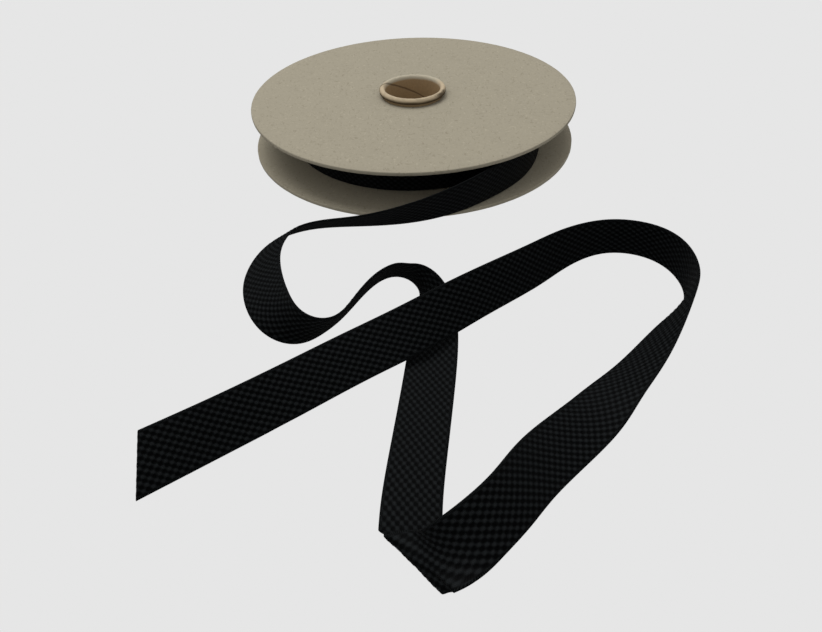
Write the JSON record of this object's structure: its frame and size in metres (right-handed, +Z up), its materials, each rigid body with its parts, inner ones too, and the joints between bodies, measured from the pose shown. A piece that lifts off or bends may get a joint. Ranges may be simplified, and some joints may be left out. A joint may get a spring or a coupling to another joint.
{
  "type": "roll of webbing on a reel",
  "caption": "Narrow black woven webbing wound on a flat cardboard reel with a paper core, its loose end laid out in front with a folded corner and loops.",
  "frame": {"origin": "on the surface that the reel and the webbing lie on, under the middle of the whole as seen from above", "axes": "+Z up along the reel's axis, +Y from the loose webbing's front corner towards the reel, +X to the right when looking along +Y"},
  "size_m": [0.2574, 0.4856, 0.038],
  "materials": {
    "card": "matt grey-brown chipboard",
    "core": "matt brown wound paper",
    "webbing": "matt black woven webbing"
  },
  "bodies": {
    "root": {"lower_flange": "card", "upper_flange": "card", "core_tube": "core", "wound_webbing": "webbing", "loose_webbing": "webbing"}
  },
  "joints": []
}
